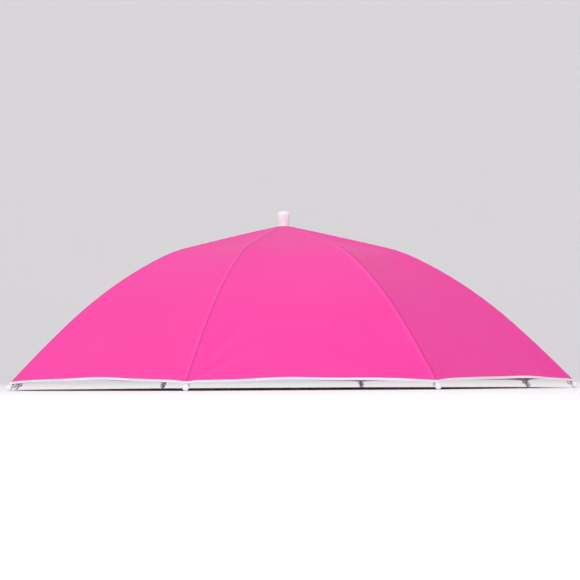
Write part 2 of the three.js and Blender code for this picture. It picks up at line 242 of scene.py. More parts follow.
class HatBandSettings(bpy.types.PropertyGroup):
    """Sizes of the elastic headband and the tapes that it hangs on"""

    wall: length(2, "Elastic", "Thickness of the elastic")
    cords: IntProperty(name="Cords", description="Raised cords along the elastic", default=22, min=3)
    cord_height: length(0.25, "Cord height", "How far a cord of the elastic stands proud")
    gather: length(0.18, "Gather", "How far the gathered edges of the elastic wander up and down")
    gathers: IntProperty(name="Gathers", description="Gathers round the elastic", default=84, min=1)
    joint: length(26, "Joint", "Width of the lap at the back where the elastic is sewn to a ring")
    joint_rise: length(0.9, "Joint rise", "How far the lapped end stands proud")
    tape_width: length(10, "Tape width", "Width of a hanging tape")
    tape_wall: length(1.2, "Tape", "Thickness of a hanging tape")
    lap: length(14, "Lap", "How far a hanging tape reaches down the elastic")
    stitch_pitch: length(2.2, "Stitch pitch", "From one stitch of a hanging tape to the next")
    thread: length(0.17, "Thread", "Radius of the thread that sews a hanging tape on")
    eye_radius: length(1.5, "Eye", "Radius of the hole that a stretcher passes through")
    eye_rim: length(1.7, "Eye rim", "Width of the metal eyelet round that hole")


class HatColours(bpy.types.PropertyGroup):
    """Colours of the hat's finishes"""

    cloth: colour("#f242a2", "Cloth", "Dyed outside of the cloth")
    cloth_deep: colour("#ef3c9e", "Deep cloth", "Where the dye took a little more strongly")
    # Partly the paler look of two layers of cloth, partly a painted highlight on the raised seam
    # allowance
    cloth_double_and_highlight: colour("#f54aa8", "Double cloth", "Beside a seam, where two layers lie on each other")
    # Painted shade in the groove of a seam
    painted_seam_shade: colour("#c43480", "Seam", "In the line of a seam")
    sheen: colour("#ffdaf9", "Sheen", "Tint of the faint sheen on the cloth")
    lining: colour("#fad0e3", "Silver side", "Silver-coated underside of the cloth")
    lining_warm: colour("#f4c4db", "Warm silver side", "Where more dye shows through the silver coat")
    tape: colour("#fbeaf1", "Hem tape", "White tape with a breath of the cloth's pink")
    tape_pink: colour("#f7dce8", "Pinker hem tape", "Where more of the cloth shows through")
    thread: colour("#f7dce8", "Sewing thread", "Thread of the hem and the seams")
    knot: colour("#eeb4d0", "Corner thread", "Pale pink thread that ties a corner to its tip")
    steel: colour("#1c191b", "Steel lacquer", "Black lacquer on wires, forks and rivets")
    plastic: colour("#f3f4fa", "White plastic", "Tips and ferrule")
    nylon: colour("#ecebe7", "White nylon", "Hub, runner and shaft")
    elastic: colour("#1b191c", "Elastic", "Black elastic of the headband")
    webbing: colour("#201d20", "Tape", "Black hanging tapes")
    band_thread: colour("#8d8a88", "Band thread", "Grey thread that sews the hanging tapes on")
    eyelet: colour("#8d8a88", "Eyelet", "Nickel on the eyelets")
    floor: colour("#fbfafc", "Floor", "Pale studio floor")


class HatStudioSettings(bpy.types.PropertyGroup):
    """The studio: where the camera stands and how strong the lamps are"""

    azimuth: FloatProperty(
        name="Azimuth",
        description="How far the camera stands round from the front",
        default=math.radians(-5.25),
        subtype="ANGLE",
    )
    roll: FloatProperty(
        name="Roll",
        description="Tilt of the camera about its own axis",
        default=math.radians(-0.3),
        subtype="ANGLE",
    )
    distance: length(2374, "Distance", "Camera to the middle of the rim")
    eye_height: length(12, "Eye height", "Floor to the camera")
    focal: FloatProperty(
        name="Focal length", description="In pixels of the picture", default=2241, min=1
    )
    picture: IntProperty(name="Picture", description="Width of the picture in pixels", default=580)
    rim_x: FloatProperty(
        name="Rim across", description="Where the middle of the rim shows, in pixels", default=284.1
    )
    rim_y: FloatProperty(
        name="Rim down", description="Where the middle of the rim shows, in pixels", default=385.9
    )
    key: FloatProperty(name="Key", description="Power of the main softbox", default=40, unit="POWER")
    top: FloatProperty(name="Top", description="Power of the overhead softbox", default=7, unit="POWER")
    sky: FloatProperty(name="Sky", description="Strength of the room's even light", default=0.68, min=0)
    sky_tint: colour("#fffeff", "Sky tint", "Colour of the room's even light")


SETTINGS = {
    "hat_canopy": HatCanopySettings,
    "hat_frame": HatFrameSettings,
    "hat_band": HatBandSettings,
    "hat_colours": HatColours,
    "hat_studio": HatStudioSettings,
}


# Materials

SMOOTH = {"interpolation_type": "SMOOTHSTEP"}
COLOUR = {"data_type": "RGBA"}


def node(tree, kind, inputs=(), **settings):
    """Add a shader node with its settings. A list fills the live inputs in order, and a dictionary goes
    by their names. Each takes a value, a socket, or a node's first live output."""
    made = tree.nodes.new("ShaderNode" + kind)
    for name, value in settings.items():
        setattr(made, name, value)
    live = [socket for socket in made.inputs if socket.enabled]
    named = isinstance(inputs, dict)
    for key, value in inputs.items() if named else enumerate(inputs):
        socket = next(s for s in live if s.name == key) if named else live[key]
        if isinstance(value, bpy.types.Node):
            value = next(s for s in value.outputs if s.enabled)
        if isinstance(value, bpy.types.NodeSocket):
            tree.links.new(value, socket)
        elif socket.type == "RGBA":
            socket.default_value = (*value, 1)
        else:
            socket.default_value = value
    return made


def material(name, build):
    """The material of that name, made once from a function that returns its shader node."""
    made = bpy.data.materials.get(name)
    if made is None:
        made = bpy.data.materials.new(name)
        made.use_nodes = True
        made.node_tree.nodes.clear()
        shader = build(made.node_tree, bpy.context.scene.hat_colours)
        node(made.node_tree, "OutputMaterial", [shader])
    return made


def patches(spacing, detail, place):
    """Inputs of soft noise whose features lie about that far apart, in metres."""
    return {"Vector": place, "Scale": 1 / spacing, "Detail": detail, "Roughness": 0.55}


def threads(tree, spacing, direction):
    """Fine bands that stand for threads that far apart along the cloth's X or Y."""
    place = node(tree, "UVMap", uv_map="cloth")
    inputs = {"Vector": place, "Scale": math.pi / (10 * spacing), "Distortion": 0}
    bands = node(tree, "TexWave", inputs, wave_type="BANDS", bands_direction=direction)
    return bands.outputs["Fac"]


def weave(tree):
    """Height of a plain weave: warp and weft threads 1 mm apart, over and under each other."""
    return node(tree, "Mix", [0.5, threads(tree, 1 * MM, "X"), threads(tree, 1 * MM, "Y")])


def mottled(tree, tint, spacing, detail, share, sockets, relief=None):
    """A finish whose colour wanders between the tint and a share of it, in patches about that far
    apart. A pair of roughnesses follows the patches, and relief is the depth and strength of a bump."""
    place = node(tree, "TexCoord").outputs["Object"]
    patch = node(tree, "TexNoise", patches(spacing, detail, place))
    sockets["Base Color"] = node(tree, "Mix", [patch, tint, [share * c for c in tint]], **COLOUR)
    if isinstance(sockets["Roughness"], tuple):
        low, high = sockets["Roughness"]
        sockets["Roughness"] = node(tree, "MapRange", [patch, 0.3, 0.7, low, high], **SMOOTH)
    if relief:
        depth, strength = relief
        inputs = {"Height": patch, "Distance": depth, "Strength": strength}
        sockets["Normal"] = node(tree, "Bump", inputs)
    return node(tree, "BsdfPrincipled", sockets)


def cross_woven(tree, tint, threads_across, shares, depth, sockets):
    """A black narrow weave whose cross threads catch the light, between two shares of its tint."""
    dark, light = ([share * c for c in tint] for share in shares)
    sockets["Base Color"] = node(tree, "Mix", [threads_across, dark, light], **COLOUR)
    inputs = {"Height": threads_across, "Distance": depth, "Strength": 0.6}
    sockets["Normal"] = node(tree, "Bump", inputs)
    return node(tree, "BsdfPrincipled", sockets)


def dyed_polyester(tree, colours):
    """Plain-woven polyester, dyed pink. Its round threads mirror little at a slant, so the IOR is below
    that of solid polyester and the sheen is faint. The weave is drawn at 1 mm, some four times the real
    thread spacing, so that it shows at all. Beside a seam the cloth lies in two layers, where less
    light gets through, and it is painted paler there: partly the two layers' own look, partly a painted
    highlight on the raised allowance. The dark line in each seam is painted shade in its groove."""
    place = node(tree, "TexCoord").outputs["Object"]
    vat = node(tree, "TexNoise", patches(110 * MM, 2, place))
    cloud = node(tree, "MapRange", [vat, 0.3, 0.75, 0, 0.4], **SMOOTH)
    open_cloth = node(tree, "Mix", [cloud, colours.cloth, colours.cloth_deep], **COLOUR)
    seams = node(tree, "UVMap", uv_map="seams")
    right, left, _ = node(tree, "SeparateXYZ", [seams]).outputs
    allowance = bpy.context.scene.hat_canopy.allowance
    # Paler band over the seam allowance: partly two layers of cloth, partly a painted highlight
    start = node(tree, "MapRange", [right, 0.4 * MM, 1.2 * MM, 0, 1], **SMOOTH)
    stop = node(tree, "MapRange", [right, allowance - MM, allowance, 1, 0], **SMOOTH)
    two_layer_and_highlight_band = node(tree, "Math", [start, stop], operation="MULTIPLY")
    dye = node(tree, "Mix", [two_layer_and_highlight_band, open_cloth, colours.cloth_double_and_highlight], **COLOUR)
    # Painted shade: a dark line down the groove of each seam
    for distance in (right, left):
        line = node(tree, "MapRange", [distance, 0.1 * MM, 1.7 * MM, 0.7, 0], **SMOOTH)
        dye = node(tree, "Mix", [line, dye, colours.painted_seam_shade], **COLOUR)
    slack = node(tree, "TexNoise", patches(30 * MM, 3, place))
    soft = node(tree, "Bump", {"Height": slack, "Distance": 0.8 * MM, "Strength": 0.35})
    inputs = {"Height": weave(tree), "Distance": 0.05 * MM, "Strength": 0.5, "Normal": soft}
    sockets = {
        "Base Color": dye,
        "Roughness": 0.5,
        "IOR": 1.25,
        "Normal": node(tree, "Bump", inputs),
        "Sheen Weight": 0.03,
        "Sheen Roughness": 0.35,
        "Sheen Tint": colours.sheen,
    }
    return node(tree, "BsdfPrincipled", sockets)


def silver_coated_polyester(tree, colours):
    """The underside of the cloth, with a thin silver coat that fills the weave: a pale satin pink,
    because the dye shows through it unevenly."""
    place = node(tree, "TexCoord").outputs["Object"]
    wear = node(tree, "TexNoise", patches(90 * MM, 3, place))
    cloud = node(tree, "MapRange", [wear, 0.3, 0.7, 0, 1], **SMOOTH)
    inputs = {"Height": weave(tree), "Distance": 0.04 * MM, "Strength": 0.35}
    sockets = {
        "Base Color": node(tree, "Mix", [cloud, colours.lining, colours.lining_warm], **COLOUR),
        "Roughness": 0.4,
        "Metallic": 0.05,
        "IOR": 1.5,
        "Normal": node(tree, "Bump", inputs),
    }
    return node(tree, "BsdfPrincipled", sockets)


def bias_tape(tree, colours):
    """White polyester bias tape: a close weave, drawn at 0.7 mm so that it shows, that lets a little of
    the pink through."""
    place = node(tree, "TexCoord").outputs["Object"]
    pink = node(tree, "TexNoise", patches(12 * MM, 2, place))
    cloud = node(tree, "MapRange", [pink, 0.3, 0.8, 0, 0.5], **SMOOTH)
    inputs = {"Height": threads(tree, 0.7 * MM, "X"), "Distance": 0.06 * MM, "Strength": 0.5}
    sockets = {
        "Base Color": node(tree, "Mix", [cloud, colours.tape, colours.tape_pink], **COLOUR),
        "Roughness": 0.62,
        "IOR": 1.5,
        "Normal": node(tree, "Bump", inputs),
        "Sheen Weight": 0.2,
    }
    return node(tree, "BsdfPrincipled", sockets)


def spun_thread(tint):
    """Spun polyester thread of that tint: matt, with a fine twist."""

    def build(tree, colours):
        sockets = {"Roughness": 0.7}
        return mottled(tree, getattr(colours, tint), 0.4 * MM, 1, 0.75, sockets, (0.05 * MM, 0.6))

    return build


def lacquered_steel(tree, colours):
    """Black lacquer on drawn steel wire: glossy, with a faint unevenness from dipping."""
    sockets = {"Roughness": (0.22, 0.34), "Coat Weight": 0.6, "Coat Roughness": 0.12}
    return mottled(tree, colours.steel, 6 * MM, 2, 1.6, sockets, (0.05 * MM, 0.3))


def nickel_plate(tree, colours):
    """Nickel plate on pressed brass: a warm grey metal with fine scuffs."""
    sockets = {"Metallic": 1, "Roughness": (0.25, 0.42)}
    return mottled(tree, colours.eyelet, 1.5 * MM, 3, 0.7, sockets)


def moulded_polypropylene(tree, colours):
    """White moulded polypropylene: a soft gloss over faint flow marks, slightly waxy."""
    sockets = {
        "Roughness": (0.26, 0.36),
        "IOR": 1.49,
        "Subsurface Weight": 0.15,
        "Subsurface Radius": (1, 0.9, 0.9),
        "Subsurface Scale": 1 * MM,
    }
    return mottled(tree, colours.plastic, 4 * MM, 2, 0.93, sockets, (0.04 * MM, 0.25))


def moulded_nylon(tree, colours):
    """White moulded nylon: satin, with the fine grain of a spark-eroded mould."""
    sockets = {"Roughness": 0.45, "IOR": 1.53}
    return mottled(tree, colours.nylon, 0.5 * MM, 2, 0.9, sockets, (0.03 * MM, 0.4))


def woven_elastic(tree, colours):
    """Black woven elastic: matt cords over rubber, crossed by binding threads 1.1 mm apart."""
    sockets = {"Roughness": 0.82, "Sheen Weight": 0.25}
    across = threads(tree, 1.1 * MM, "X")
    return cross_woven(tree, colours.elastic, across, (0.6, 1.5), 0.1 * MM, sockets)


def polyester_webbing(tree, colours):
    """Narrow black polyester tape in a plain weave, matt with a slight sheen and weft 0.9 mm apart."""
    sockets = {"Roughness": 0.75, "Sheen Weight": 0.2}
    across = threads(tree, 0.9 * MM, "Y")
    return cross_woven(tree, colours.webbing, across, (0.7, 1.4), 0.08 * MM, sockets)


def studio_paint(tree, colours):
    """Matt pale paint of the studio floor, a little uneven from the roller."""
    return mottled(tree, colours.floor, 400 * MM, 3, 0.985, {"Roughness": 0.9})


# Mesh making: a solid is a pair of an array of points and a list of faces


def loft(sections, closed=False):
    """A solid through rings of points. It is closed into a loop, or has a flat face at each end."""
    rings = np.asarray(sections, float)
    count, sides = rings.shape[:2]
    faces = []
    for i in range(count if closed else count - 1):
        here, there = i * sides, (i + 1) % count * sides
        for j in range(sides):
            k = (j + 1) % sides
            faces.append((here + j, here + k, there + k, there + j))
    if not closed:
        faces.append(tuple(range(sides))[::-1])
        faces.append(tuple((count - 1) * sides + j for j in range(sides)))
    return rings.reshape(-1, 3), faces


def turned(profile, sides, closed=False):
    """A turned solid about Z, from (radius, height) pairs in order."""
    turn = np.linspace(0, 2 * math.pi, sides, endpoint=False)
    c, s = np.cos(turn), np.sin(turn)
    rings = [np.stack([r * c, r * s, np.full(sides, z)], axis=1) for r, z in profile]
    return loft(rings, closed)


def joined(*solids):
    """Several solids as one."""
    points, faces, start = [], [], 0
    for some, theirs in solids:
        points.append(some)
        faces += [tuple(start + v for v in face) for face in theirs]
        start += len(some)
    return np.concatenate(points), faces


def moved(solid, matrix):
    """The solid, placed by a matrix."""
    points, faces = solid
    m = np.array(matrix)
    return points @ m[:3, :3].T + m[:3, 3], faces


def rounded(corners, radius, steps=3, closed=False):
    """The outline with each of its corners turned into a small bow."""
    corners = [np.array(c, float) for c in corners]
    made = []
    for i, corner in enumerate(corners):
        if not closed and i in (0, len(corners) - 1):
            made.append(corner)
            continue
        legs = [corners[i - 1] - corner, corners[(i + 1) % len(corners)] - corner]
        start, end = (corner + leg * min(0.5, radius / np.linalg.norm(leg)) for leg in legs)
        for t in np.linspace(0, 1, steps + 1):
            made.append((1 - t) ** 2 * start + 2 * t * (1 - t) * corner + t**2 * end)
    return made


def tube(path, radii, sides=12):
    """A round wire along a path, with a radius for each of its points."""
    path = np.asarray(path, float)
    along = np.gradient(path, axis=0)
    along /= np.linalg.norm(along, axis=1)[:, None]
    first = np.array((0, 1, 0)) if abs(along[0][1]) < 0.9 else np.array((0, 0, 1))
    turn = np.linspace(0, 2 * math.pi, sides, endpoint=False)
    rings = []
    for point, way, radius in zip(path, along, radii):
        side = first - way * (first @ way)
        side /= np.linalg.norm(side)
        rise = np.cross(way, side)
        rings.append(point + radius * (np.outer(np.cos(turn), rise) + np.outer(np.sin(turn), side)))
    return loft(rings)


def stitches(path, outward, pitch, radius, share=0.72, sides=5):
    """Raised stitches along a path, which dip into the cloth at both ends."""
    path, outward = np.asarray(path, float), np.asarray(outward, float)
    run = np.append(0, np.cumsum(np.linalg.norm(np.diff(path, axis=0), axis=1)))
    count = max(1, int(run[-1] / pitch))
    along, height = columns(STITCH, "along", "rise")
    turn = np.linspace(0, 2 * math.pi, sides, endpoint=False)
    at = (np.arange(count)[:, None] + 0.5 + share * along) * run[-1] / count
    place = np.stack([np.interp(at, run, path[:, k]) for k in range(3)], axis=-1)
    rise = np.stack([np.interp(at, run, outward[:, k]) for k in range(3)], axis=-1)
    rise /= np.linalg.norm(rise, axis=-1)[..., None]
    way = np.gradient(place, axis=1)
    side = np.cross(way, rise)
    side /= np.linalg.norm(side, axis=-1)[..., None]
    middle = place + rise * radius * height[:, None]
    up, out = rise[:, :, None] * np.cos(turn)[:, None], side[:, :, None] * np.sin(turn)[:, None]
    return joined(*(loft(one) for one in middle[:, :, None] + radius * (up + out)))


def cut(solid, cutter):
    """The solid with the cutter taken out of it."""
    body, tool = mesh_object("cut_body", *solid), mesh_object("cut_tool", *cutter)
    change = body.modifiers.new("Cut", "BOOLEAN")
    change.operation = "DIFFERENCE"
    change.solver = "EXACT"
    change.object = tool
    bpy.context.view_layer.update()
    graph = bpy.context.evaluated_depsgraph_get()
    done = bpy.data.meshes.new_from_object(body.evaluated_get(graph))
    faces = [tuple(p.vertices) for p in done.polygons]
    if not faces:
        raise RuntimeError("a cut left nothing of the solid")
    for thing in (body, tool):
        bpy.data.objects.remove(thing)
    return np.array([v.co for v in done.vertices]), faces


def mesh_object(name, points, faces, uv=None, looks=None, weld=1e-7):
    """A mesh object with its faces turned outwards. UV names a map and its places at each corner of
    each face, and looks is a material number for each face."""
    mesh = bpy.data.meshes.new(name)
    mesh.from_pydata(np.asarray(points).tolist(), [], [list(map(int, face)) for face in faces])
    for layer_name, places in (uv or {}).items():
        layer = mesh.uv_layers.new(name=layer_name)
        layer.data.foreach_set("uv", np.asarray(places, np.float32).ravel())
    if looks is not None:
        mesh.polygons.foreach_set("material_index", np.asarray(looks, np.int32))
    shape = bmesh.new()
    shape.from_mesh(mesh)
    if weld:
        bmesh.ops.remove_doubles(shape, verts=shape.verts, dist=weld)
    bmesh.ops.recalc_face_normals(shape, faces=shape.faces)
    shape.to_mesh(mesh)
    shape.free()
    made = bpy.data.objects.new(name, mesh)
    bpy.context.scene.collection.objects.link(made)
    return made


def piece(name, solid, finish, slot, nodes=(), crease=40, **more):
    """A visible piece of the hat: smooth, creased where it bends sharply, and riding on the frame."""
    made = mesh_object(name, *solid, **more)
    for each in finish if isinstance(finish, list) else [finish]:
        made.data.materials.append(each)
    made.data.polygons.foreach_set("use_smooth", [True] * len(made.data.polygons))
    made.data.set_sharp_from_angle(angle=math.radians(crease))
    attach(made, "root")
    if nodes:
        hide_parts(*nodes)
    return made


def flat_uv(points, faces, across, along):
    """Where each corner of each face lies on a flat strip, in metres along two axes."""
    corners = np.concatenate([points[list(face)] for face in faces])
    return {"cloth": np.stack([corners @ np.array(across), corners @ np.array(along)], axis=1)}


def spoke(number):
    """The turn that takes the plane of +X to that of a rib, counted from 0."""
    return Matrix.Rotation(FRONT + HALF_PANEL * (2 * number + 1), 4, "Z")


def ease(value, low, high):
    """0 below low, 1 above high and smooth between them."""
    t = np.clip((value - low) / (high - low), 0, 1)
    return t * t * (3 - 2 * t)


# The shape of the ribs and of the cloth over them


class RibLine:
    """The axis of a rib in the plane of its spoke, by its share of the reach."""

    samples = 400

    def __init__(self, sizes):
        self.share = np.linspace(0, 1, self.samples + 1)
        self.reach = (CAD_BOX[1].x - sizes.ball_radius) / math.cos(HALF_PANEL)
        reach, degrees = columns(RIB_BEND, "reach", "degrees")
        middle = (self.share[1:] + self.share[:-1]) / 2
        steps = np.tan(np.radians(np.interp(middle, reach, degrees))) / self.samples
        fall = np.append(0, np.cumsum(steps)) / steps.sum()
        start = np.interp(sizes.rib_start / self.reach, self.share, fall)
        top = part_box("rib_1")[1].z - sizes.rib_radius - sizes.ball_radius
        self.height = sizes.ball_radius + top / (1 - start) * (1 - fall)
        self.slope = np.arctan(-np.gradient(self.height, self.share * self.reach))
        run = np.hypot(np.diff(self.share) * self.reach, np.diff(self.height))
        self.run = np.append(0, np.cumsum(run))
        self.length = self.run[-1]

    def at(self, share, lift=0.0):
        """Radius and height of the line that lies square to the axis, that far above it."""
        slope = np.interp(share, self.share, self.slope)
        height = np.interp(share, self.share, self.height)
        return share * self.reach + lift * np.sin(slope), height + lift * np.cos(slope)


class Cloth:
    """Where the cloth of the canopy lies between its ribs."""

    groove_reach = 0.6 * MM  # half width of the line along a seam
    pucker_reach = 9 * MM  # from a seam to where its puckers fade out
    crown_fade = 12 * MM  # half width of a panel below which its seams get flatter
    fold_room = 5 * MM  # from a seam to where the tension folds are full
    slack = 12  # most ripples in a metre of cloth
    lift_start = (0.5 * MM, 1.3 * MM)  # from a seam to where the cloth over its allowance rises
    lift_stop = 0.7 * MM  # half width of the slope where the allowance ends
    gathers = 3  # across a panel, round the ferrule
    gather_reach = 2.5  # crown holes from the axis to where the gathers are deepest
    gather_spread = 3  # crown holes from there to where they fade out

    def __init__(self, settings, line):
        self.settings = settings
        self.line = line
        level = math.cos(line.slope[-1])
        self.corner = 1 - settings.corner_room * level / line.reach
        self.crown = (settings.crown_hole - settings.lift * math.sin(line.slope[0])) / line.reach
        draw = np.random.default_rng(settings.seed)
        self.jitter = draw.normal(0, math.radians(3), (PANELS, 2, len(CORNER_FOLDS)))
        self.strength = draw.uniform(0.7, 1.2, (PANELS, 2, len(CORNER_FOLDS)))
        most = np.array([self.slack, self.slack, 2 * math.pi])
        self.waves = draw.uniform([-self.slack, -self.slack, 0], most, (PANELS, 4, 3))
        self.phase = draw.uniform(0, 2 * math.pi, (PANELS, 2))

    def hem(self, side):
        """Share of the reach where the cloth is cut, from -1 at the left seam to 1 at the right one."""
        return self.corner - self.settings.hem_rise * (1 - side**2) / self.line.reach

    def folds(self, panel, share, half, across):
        """How far the tension folds draw the cloth in."""
        down = (self.corner - share) * self.line.length
        pull = PANEL_PULL[panel % len(PANEL_PULL)]
        sink = np.zeros_like(across)
        for end, (name, inward) in enumerate((("left", half + across), ("right", half - across))):
            away = np.hypot(inward, down)
            angle = np.arctan2(down, inward)
            for i, fold in enumerate(CORNER_FOLDS):
                line = math.radians(fold["angle"]) + self.jitter[panel, end, i]
                run = away / (fold["run"] * self.line.length)
                wide = fold["width"] * self.line.length * (0.4 + 0.6 * run)  # fans out from the corner
                off = away * np.sin(angle - line) / wide
                fade = np.sin(math.pi * np.minimum(run, 1) ** 0.6)  # deepest at a third of the run
                depth = pull[name] * fold["sink"] * self.strength[panel, end, i]
                sink += depth * fade * np.exp(-(off**2))
        return sink * self.settings.fold_depth

    def seam_relief(self, panel, share, half, across):
        """The line, the lifted allowance and the puckers along the seams of a panel."""
        s = self.settings
        left, right = half + across, half - across
        fold, edge = s.allowance - self.lift_stop, s.allowance + self.lift_stop
        relief = s.allowance_rise * (ease(right, *self.lift_start) - ease(right, fold, edge))
        along = share * self.line.length * 2 * math.pi / s.pucker_pitch
        for seam, distance in ((panel - 1, left), (panel, right)):
            a, b = self.phase[seam % PANELS]
            wave = np.sin(along + a) * (0.6 + 0.4 * np.sin(0.37 * along + b))  # swells and fades
            relief += s.pucker * wave * np.exp(-((distance / self.pucker_reach) ** 2))
            relief -= s.groove * np.exp(-((distance / self.groove_reach) ** 2))
        return relief * np.minimum(1, half / self.crown_fade)

    def surface(self, panel, share, side, depth=0.0, seams=True):
        """Points that far below the outside of a panel's cloth, with or without the seams' relief."""
        s = self.settings
        radius, height = self.line.at(share, s.lift - depth)
        half = radius * math.sin(HALF_PANEL)
        across, down = side * half, share * self.line.length
        right = half - across
        middle = 1 - side**2
        sink = s.hollow * middle * np.sin(math.pi * share)
        sink += ease(half - np.abs(across), 0, self.fold_room) * self.folds(panel, share, half, across)
        ripple = s.ripple * middle * np.minimum(1, half / s.ripple_room)
        for x, y, turn in self.waves[panel]:
            sink += ripple * np.sin(2 * math.pi * (x * across + y * down) + turn)
        away = (radius / s.crown_hole - self.gather_reach) / self.gather_spread
        sink += s.gather * np.exp(-(away**2)) * (0.5 + 0.5 * np.cos(self.gathers * math.pi * side))
        z = height - sink
        if seams:
            z = z + self.seam_relief(panel, share, half, across)
        if depth:
            doubled = ease(right, 0.2 * MM, 0.5 * MM) - ease(right, s.allowance, s.allowance + 0.4 * MM)
            inside = (self.hem(side) - share) * self.line.length
            doubled = doubled * np.minimum(1, half / self.crown_fade)
            z = z - 2 * s.allowance_rise * doubled * ease(inside, s.tape_width, 2 * s.tape_width)
        turn = FRONT + 2 * HALF_PANEL * panel
        out = radius * math.cos(HALF_PANEL)
        x = out * math.cos(turn) - across * math.sin(turn)
        y = out * math.sin(turn) + across * math.cos(turn)
        return np.stack([x, y, z], axis=-1)

    def flat_area(self):
        """Area of the eight gores as they are cut."""
        share = self.line.share[self.line.share <= self.corner]
        width = 2 * self.line.at(share, self.settings.lift)[0] * math.sin(HALF_PANEL)
        run = self.line.run[: len(share)]
        hem = 2 / 3 * self.settings.hem_rise * width[-1]
        return PANELS * (float(np.sum((width[1:] + width[:-1]) / 2 * np.diff(run))) - float(hem))


def hat_cloth():
    """The cloth over the ribs, from the scene's settings."""
    scene = bpy.context.scene
    return Cloth(scene.hat_canopy, RibLine(scene.hat_frame))


def canopy_sheet(cloth):
    """One sheet over all the panels: its points and faces, where each corner of a face lies on its
    flat gore and how far from the gore's right and left seam, and each face's look."""
    s = cloth.settings
    rows, wide = s.rows, s.columns
    total = PANELS * wide
    down = 1 - np.linspace(1, 0, rows + 1)[:, None] ** 1.3  # rows crowd towards the hem
    u = np.linspace(-1, 1, wide + 1)[None, :]
    crowd = 1 + 1.2 * np.minimum(1, down / 0.4)  # columns crowd towards the seams
    side = np.sign(u) * (1 - (1 - np.abs(u)) ** crowd)
    share = cloth.crown + down * (cloth.hem(side) - cloth.crown)
    layers = np.zeros((2, rows + 1, total, 3))
    i, j = np.meshgrid(np.arange(rows), np.arange(wide), indexing="ij")
    corners = [(i, j), (i + 1, j), (i + 1, j + 1), (i, j + 1)]
    radius, _ = cloth.line.at(share, s.lift)
    half = radius * math.sin(HALF_PANEL)
    flat = np.stack([side * half, share * cloth.line.length], axis=-1)
    seams = np.stack([half * (1 - side), half * (1 + side)], axis=-1)
    faces, uv, looks = [], {"cloth": [], "seams": []}, []
    under = (rows + 1) * total
    for panel in range(PANELS):
        span = slice(panel * wide, (panel + 1) * wide)
        for layer in (0, 1):
            layers[layer, :, span] = cloth.surface(panel, share, side, layer * s.wall)[:, :-1]
            number = [layer * under + r * total + (panel * wide + c) % total for r, c in corners]
            order = (0, 1, 2, 3) if layer == 0 else (3, 2, 1, 0)
            faces.append(np.stack([number[k] for k in order], axis=-1).reshape(-1, 4))
            for name, places in (("cloth", flat), ("seams", seams)):
                uv[name].append(np.stack([places[corners[k]] for k in order], axis=-2).reshape(-1, 2))
            looks.append(np.full(rows * wide, layer))
    edge = np.arange(total)
    following = (edge + 1) % total
    for row in (0, rows):
        a, b = row * total + edge, row * total + following
        rim = np.stack([a, b, under + b, under + a], axis=-1)
        faces.append(rim if row == 0 else rim[:, ::-1])
        for places in uv.values():
            places.append(np.ones((4 * total, 2)))
        looks.append(np.zeros(total, int))
    uv = {name: np.concatenate(places) for name, places in uv.items()}
    return (layers.reshape(-1, 3), np.concatenate(faces)), uv, np.concatenate(looks)


def hem_ring(cloth, steps):
    """The cloth's edge all round: points in the middle of its wall, and the ways in from the edge and
    out of the cloth."""
    side = np.linspace(-1, 1, steps, endpoint=False)
    hem = cloth.hem(side)
    edge, inner = [], []
    for panel in range(PANELS):
        for share, points in ((hem, edge), (hem - 3 * MM / cloth.line.reach, inner)):
            above = cloth.surface(panel, share, side, 0, False)
            below = cloth.surface(panel, share, side, cloth.settings.wall, False)
            points.append((above + below) / 2)
    edge, inner = np.concatenate(edge), np.concatenate(inner)
    along = np.roll(edge, -1, axis=0) - np.roll(edge, 1, axis=0)
    along /= np.linalg.norm(along, axis=1)[:, None]
    inward = inner - edge
    inward -= along * np.sum(inward * along, axis=1)[:, None]
    inward /= np.linalg.norm(inward, axis=1)[:, None]
    outward = np.cross(along, inward)
    outward *= np.sign(outward[:, 2:])
    return edge, inward, outward


class HatOperator:
    """What all steps of the hat share."""

    bl_options = {"REGISTER", "UNDO"}


